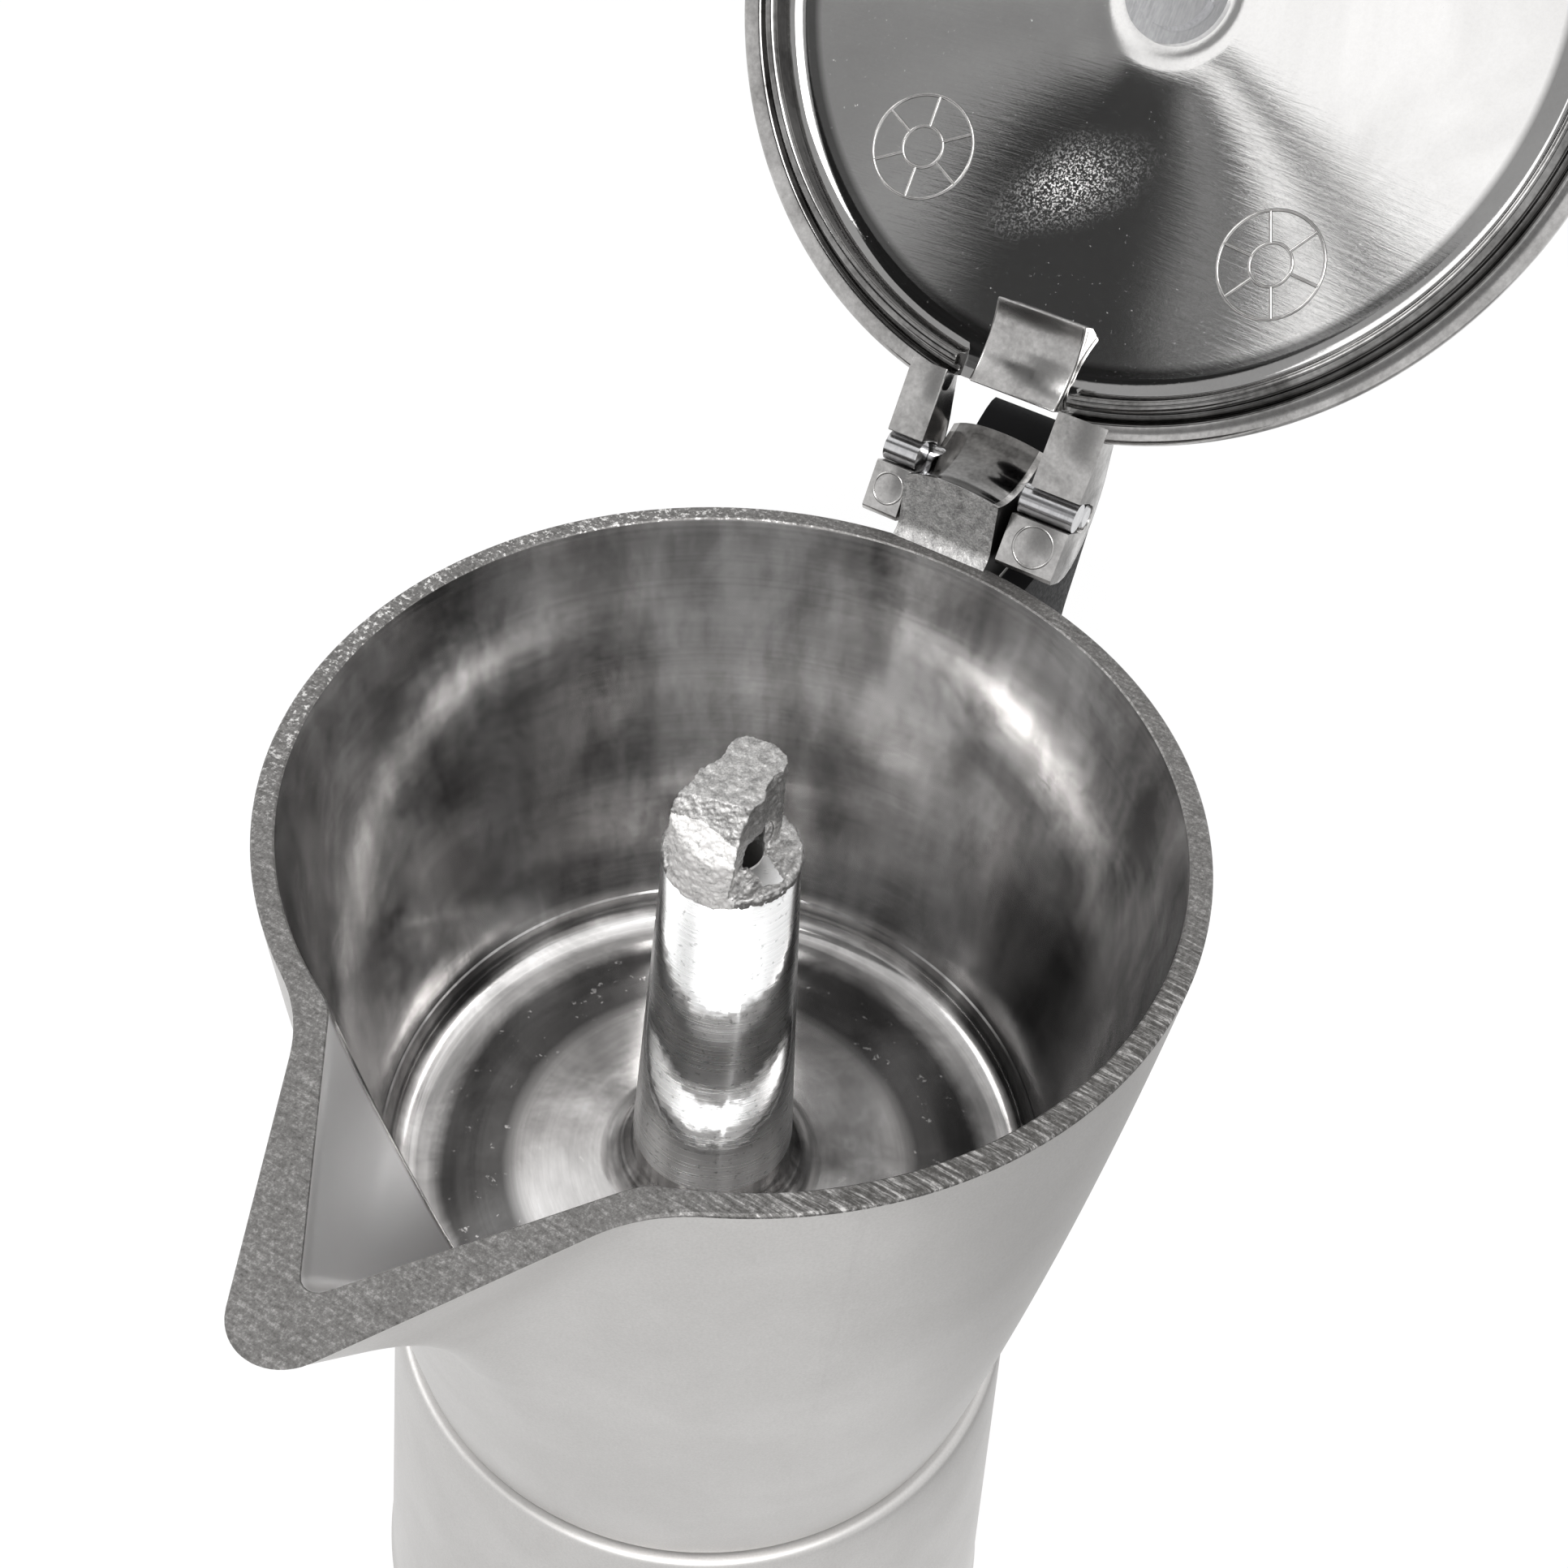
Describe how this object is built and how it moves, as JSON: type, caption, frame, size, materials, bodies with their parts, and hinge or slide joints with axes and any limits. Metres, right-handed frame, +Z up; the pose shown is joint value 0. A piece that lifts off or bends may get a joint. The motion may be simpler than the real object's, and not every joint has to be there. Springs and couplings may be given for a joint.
{
  "type": "moka pot",
  "caption": "Stove-top moka pot in cast aluminium: boiler with safety valve, coffee funnel, gasket, filter plate, upper chamber with pouring spout, open hinged lid, black handle and knob.",
  "frame": {"origin": "centre of the boiler's base, on the table", "axes": "+Z up along the pot's axis, the spout points to -Y, the handle and the lid's hinge lie towards +Y, X runs along the hinge pin"},
  "size_m": [0.1046, 0.1904, 0.2769],
  "materials": {
    "cast_body": "satin",
    "polished_lid": "polished",
    "sheet_aluminium": "satin",
    "pin_steel": "polished",
    "valve_brass": "satin",
    "seal_rubber": "matte",
    "black_plastic": "satin"
  },
  "bodies": {
    "base": {"boiler": "cast_body", "valve_body": "valve_brass", "valve_seal": "seal_rubber", "valve_cap": "valve_brass", "valve_spring": "pin_steel"},
    "valve_pin": {"valve_plunger": "pin_steel"},
    "funnel": {"funnel_basket": "sheet_aluminium", "funnel_screen": "sheet_aluminium", "funnel_stem": "sheet_aluminium"},
    "seal": {"gasket": "seal_rubber"},
    "filter": {"filter_plate": "sheet_aluminium"},
    "top": {"upper_chamber": "cast_body", "hinge_pin": "pin_steel", "handle": "black_plastic", "handle_screw": "pin_steel"},
    "cover": {"lid": "polished_lid", "lid_knob": "black_plastic", "knob_washer": "pin_steel", "knob_screw": "pin_steel"}
  },
  "joints": [
    {"name": "lid_hinge", "type": "hinge", "parent": "top", "child": "cover", "pos_m": [0, 0.0585, 0.17965], "axis": [1, 0, 0], "range_deg": [0, 120.2]},
    {"name": "top_unscrew", "type": "hinge", "parent": "filter", "child": "top", "pos_m": [0, 0, 0.09], "axis": [0, 0, 1], "range_deg": [0, 720]},
    {"name": "thread_rise", "type": "slide", "parent": "seal", "child": "filter", "axis": [0, 0, 1], "range_m": [0, 0.006]},
    {"name": "top_lift", "type": "slide", "parent": "funnel", "child": "seal", "axis": [0, 0, 1], "range_m": [0, 0.12]},
    {"name": "funnel_lift", "type": "slide", "parent": "base", "child": "funnel", "axis": [0, 0, 1], "range_m": [0, 0.1]},
    {"name": "valve_lift", "type": "slide", "parent": "base", "child": "valve_pin", "axis": [-1, 0, 0], "range_m": [0, 0.001], "stiffness_N_per_m": 1000, "springref_m": -0.002}
  ],
  "couplings": [
    {"joint": "thread_rise", "follows": "top_unscrew", "m_per_rad": 0.00047746}
  ]
}
